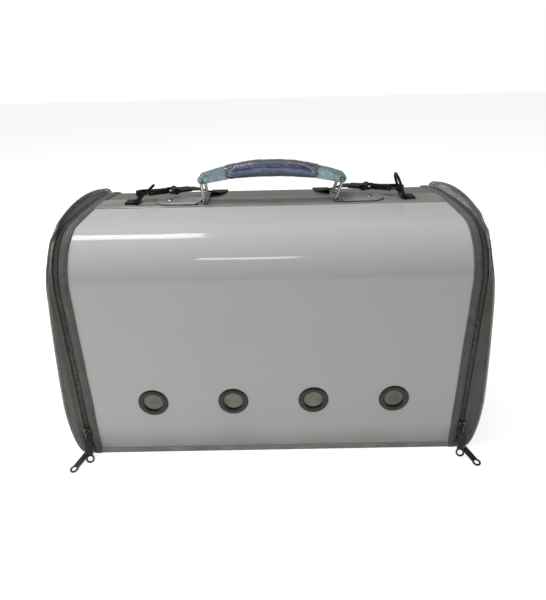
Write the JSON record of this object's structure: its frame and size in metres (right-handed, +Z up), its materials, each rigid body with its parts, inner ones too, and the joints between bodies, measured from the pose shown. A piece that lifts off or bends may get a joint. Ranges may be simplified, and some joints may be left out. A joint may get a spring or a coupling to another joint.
{
  "type": "pet travel carrier",
  "caption": "Hard-sided small pet and bird carrier: bent plastic sheet with eyelets, zipped end doors, ring-hung handle and clip-on shoulder strap.",
  "frame": {"origin": "centre of the base's underside, on the floor", "axes": "+X along the carrier to its right end, +Y to the rear, +Z up; the front faces -Y"},
  "size_m": [0.4464, 0.4212, 0.2974],
  "materials": {
    "sheet": "glossy translucent grey-white",
    "board_cover": "woven",
    "mat_fabric": "plush",
    "binding_fabric": "woven tape",
    "boxing_fabric": "woven",
    "silver_leather": "smooth coated",
    "iridescent_leather": "iridescent foil coat",
    "zip": "dull",
    "mesh": "open knit",
    "gunmetal": "dark plated",
    "black_metal": "satin black",
    "nickel": "polished",
    "webbing": "woven",
    "black_plastic": "moulded"
  },
  "bodies": {
    "carrier": {"base_board": "board_cover", "floor_mat": "mat_fabric", "front_panel": "sheet", "back_panel": "sheet", "top_strip": "silver_leather", "base_trim": "binding_fabric", "hinge_flaps": "binding_fabric", "binding_left": "binding_fabric", "binding_right": "binding_fabric", "body_zip_left": "zip", "body_zip_right": "zip", "eyelets_front": "gunmetal", "eyelets_back": "gunmetal", "anchor_left": "silver_leather", "anchor_right": "silver_leather", "anchor_rivets": "nickel", "dring_tab_left": "webbing", "dring_tab_right": "webbing", "hook_left": "black_metal", "hook_right": "black_metal", "shoulder_strap": "webbing", "strap_adjuster": "black_plastic"},
    "door_left": {"door_band_left": "boxing_fabric", "door_panel_left": "iridescent_leather", "door_mesh_left": "mesh", "door_tape_left": "binding_fabric", "door_edging_left": "iridescent_leather", "door_zip_left": "zip"},
    "low_slider_left": {"slider_left_low": "gunmetal"},
    "high_slider_left": {"slider_left_up": "gunmetal"},
    "low_pull_left": {"pull_left_low": "gunmetal"},
    "high_pull_left": {"pull_left_up": "gunmetal"},
    "door_right": {"door_band_right": "boxing_fabric", "door_panel_right": "iridescent_leather", "door_mesh_right": "mesh", "door_tape_right": "binding_fabric", "door_edging_right": "iridescent_leather", "door_zip_right": "zip"},
    "low_slider_right": {"slider_right_low": "gunmetal"},
    "high_slider_right": {"slider_right_up": "gunmetal"},
    "low_pull_right": {"pull_right_low": "gunmetal"},
    "high_pull_right": {"pull_right_up": "gunmetal"},
    "left_ring": {"ring_left": "nickel"},
    "right_ring": {"ring_right": "nickel"},
    "handle": {"handle_grip": "iridescent_leather", "handle_tab_left": "iridescent_leather", "handle_tab_right": "iridescent_leather"},
    "left_dring": {"dring_left": "gunmetal"},
    "right_dring": {"dring_right": "gunmetal"},
    "left_gate": {"hook_gate_left": "gunmetal"},
    "right_gate": {"hook_gate_right": "gunmetal"},
    "left_swivel": {"hook_swivel_left": "black_metal", "strap_end_left": "webbing"},
    "right_swivel": {"hook_swivel_right": "black_metal", "strap_end_right": "webbing"}
  },
  "joints": [
    {"name": "door_left_opens", "type": "hinge", "parent": "carrier", "child": "door_left", "pos_m": [-0.216, 0, 0.003], "axis": [0, -1, 0], "range_deg": [0, 80]},
    {"name": "low_slider_left_runs", "type": "slide", "parent": "carrier", "child": "low_slider_left", "axis": [0, -0.0384, 0.9993], "range_m": [0, 0.003]},
    {"name": "high_slider_left_runs", "type": "slide", "parent": "carrier", "child": "high_slider_left", "axis": [0, -0.0384, 0.9993], "range_m": [0, 0.15]},
    {"name": "low_pull_left_lifts", "type": "hinge", "parent": "low_slider_left", "child": "low_pull_left", "pos_m": [-0.2032, -0.12202, 0.0078], "axis": [-0.9135, 0.4067, 0], "range_deg": [0, 10]},
    {"name": "high_pull_left_lifts", "type": "hinge", "parent": "high_slider_left", "child": "high_pull_left", "pos_m": [-0.2032, -0.12285, 0.0293], "axis": [-0.9511, -0.309, 0], "range_deg": [0, 125]},
    {"name": "door_right_opens", "type": "hinge", "parent": "carrier", "child": "door_right", "pos_m": [0.216, 0, 0.003], "axis": [0, 1, 0], "range_deg": [0, 80]},
    {"name": "low_slider_right_runs", "type": "slide", "parent": "carrier", "child": "low_slider_right", "axis": [0, -0.0384, 0.9993], "range_m": [0, 0.003]},
    {"name": "high_slider_right_runs", "type": "slide", "parent": "carrier", "child": "high_slider_right", "axis": [0, -0.0384, 0.9993], "range_m": [0, 0.15]},
    {"name": "low_pull_right_lifts", "type": "hinge", "parent": "low_slider_right", "child": "low_pull_right", "pos_m": [0.2032, -0.12202, 0.0078], "axis": [-0.9135, -0.4067, 0], "range_deg": [0, 10]},
    {"name": "high_pull_right_lifts", "type": "hinge", "parent": "high_slider_right", "child": "high_pull_right", "pos_m": [0.2032, -0.12285, 0.0293], "axis": [-0.9511, 0.309, 0], "range_deg": [0, 125]},
    {"name": "left_ring_swings", "type": "hinge", "parent": "carrier", "child": "left_ring", "pos_m": [-0.072, 0, 0.2566], "axis": [0, 1, 0], "range_deg": [-35, 15]},
    {"name": "right_ring_swings", "type": "hinge", "parent": "carrier", "child": "right_ring", "pos_m": [0.072, 0, 0.2566], "axis": [0, 1, 0], "range_deg": [-36, 16]},
    {"name": "handle_swings", "type": "hinge", "parent": "left_ring", "child": "handle", "pos_m": [-0.07357, 0, 0.27905], "axis": [0, 1, 0], "range_deg": [-16, 35]},
    {"name": "left_dring_tips", "type": "hinge", "parent": "carrier", "child": "left_dring", "pos_m": [-0.1485, 0, 0.2562], "axis": [0, 1, 0], "range_deg": [-30, 0]},
    {"name": "right_dring_tips", "type": "hinge", "parent": "carrier", "child": "right_dring", "pos_m": [0.1485, 0, 0.2562], "axis": [0, 1, 0], "range_deg": [-30, 0]},
    {"name": "left_gate_opens", "type": "hinge", "parent": "carrier", "child": "left_gate", "pos_m": [-0.13426, 0.00937, 0.262], "axis": [0, 0, -1], "range_deg": [0, 20], "stiffness_Nm_per_rad": 0.02, "springref_deg": -5.16},
    {"name": "left_swivel_turns", "type": "hinge", "parent": "carrier", "child": "left_swivel", "pos_m": [-0.11894, 0.0208, 0.262], "axis": [-0.9397, -0.342, 0], "range_deg": [-12, 12]},
    {"name": "right_gate_opens", "type": "hinge", "parent": "carrier", "child": "right_gate", "pos_m": [0.13439, 0.00937, 0.262], "axis": [0, 0, 1], "range_deg": [0, 20], "stiffness_Nm_per_rad": 0.02, "springref_deg": -5.16},
    {"name": "right_swivel_turns", "type": "hinge", "parent": "carrier", "child": "right_swivel", "pos_m": [0.11908, 0.0208, 0.262], "axis": [0.9397, -0.342, 0], "range_deg": [-12, 12]}
  ],
  "couplings": [
    {"joint": "right_ring_swings", "follows": "left_ring_swings", "ratio": 0.9857},
    {"joint": "handle_swings", "follows": "left_ring_swings", "ratio": -0.9407}
  ]
}
